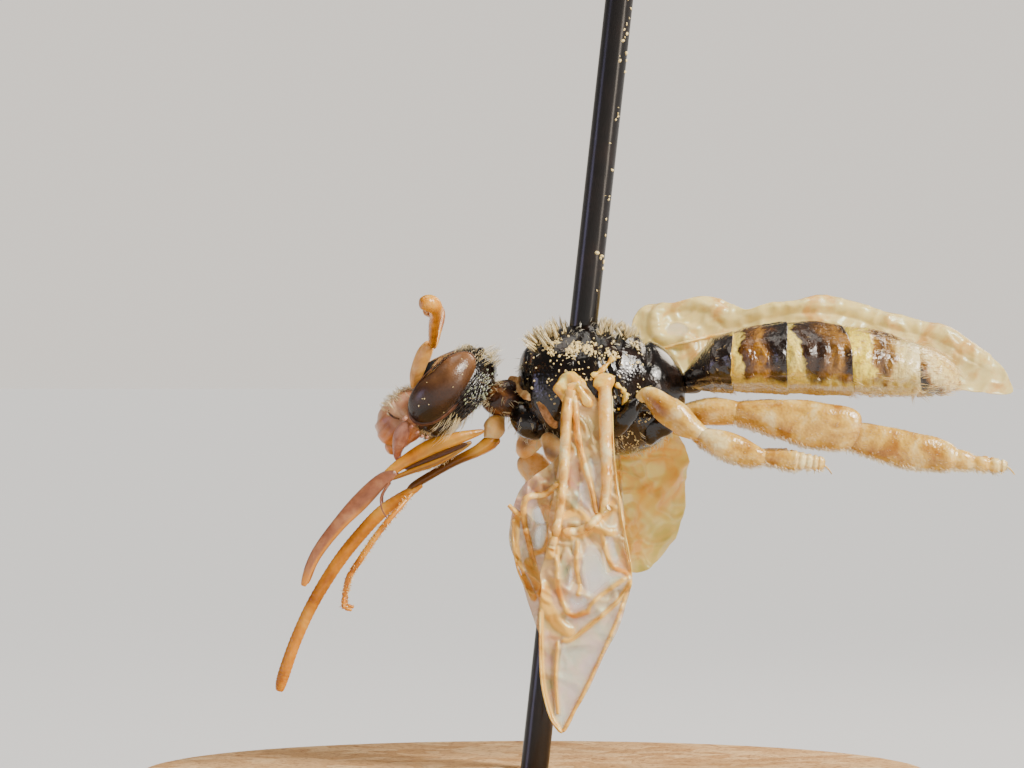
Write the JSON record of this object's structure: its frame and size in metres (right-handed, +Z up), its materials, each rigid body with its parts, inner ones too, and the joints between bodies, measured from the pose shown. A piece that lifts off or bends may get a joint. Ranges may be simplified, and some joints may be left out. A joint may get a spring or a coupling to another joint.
{
  "type": "pinned bee specimen",
  "caption": "Small banded solitary bee, dried on an insect pin in a round cork base, with wings hanging, legs trailing and the long tongue folded out and down.",
  "frame": {"origin": "centre of the round base's underside, where the part rests", "axes": "+Z up; +X from the head towards the tip of the abdomen; +Y towards the bee's right side"},
  "size_m": [0.0144, 0.013, 0.0166],
  "materials": {
    "cork": "fine granulated cork, matte",
    "pin_enamel": "black enamelled steel, glossy",
    "pin_knob": "amber nylon, glossy",
    "shell": "black cuticle, glossy under pale hair",
    "eye": "brown compound eye, glossy",
    "face": "pale rose translucent cuticle",
    "jaw": "red-brown cuticle, glossy",
    "amber": "amber translucent cuticle",
    "wing": "clear cream film with raised veins",
    "cream": "cream-yellow cuticle with fine hair",
    "band": "yellow and dark brown bands, glossy"
  },
  "bodies": {
    "root": {"abdomen_ring_1": "band", "abdomen_ring_2": "band", "abdomen_ring_3": "band", "abdomen_ring_4": "band", "abdomen_ring_5": "band", "antenna_flagellum_left": "amber", "antenna_flagellum_right": "amber", "antenna_scape_left": "amber", "antenna_scape_right": "amber", "clypeus": "face", "eye_left": "eye", "eye_right": "eye", "fore_coxa_left": "shell", "fore_coxa_right": "shell", "forewing_left": "wing", "forewing_right": "wing", "galea_left": "amber", "galea_right": "amber", "glossa": "amber", "head": "shell", "hindwing_left": "wing", "hindwing_right": "wing", "insect_pin": "pin_enamel", "insect_pin_head": "pin_knob", "labial_palp_left": "amber", "labial_palp_right": "amber", "leg_femur_fore_left": "cream", "leg_femur_fore_right": "cream", "leg_femur_hind_left": "cream", "leg_femur_hind_right": "cream", "leg_femur_mid_left": "cream", "leg_femur_mid_right": "cream", "leg_tarsus_fore_left": "cream", "leg_tarsus_fore_right": "cream", "leg_tarsus_hind_left": "cream", "leg_tarsus_hind_right": "cream", "leg_tarsus_mid_left": "cream", "leg_tarsus_mid_right": "cream", "leg_tibia_fore_left": "cream", "leg_tibia_fore_right": "cream", "leg_tibia_hind_left": "cream", "leg_tibia_hind_right": "cream", "leg_tibia_mid_left": "cream", "leg_tibia_mid_right": "cream", "mandible_left": "jaw", "mandible_right": "jaw", "mesothorax": "shell", "neck": "amber", "proboscis_base": "amber", "pronotum": "shell", "propodeum": "shell", "scutellum": "shell", "stand_base": "cork", "tegula_left": "cream", "tegula_right": "cream"}
  },
  "joints": []
}
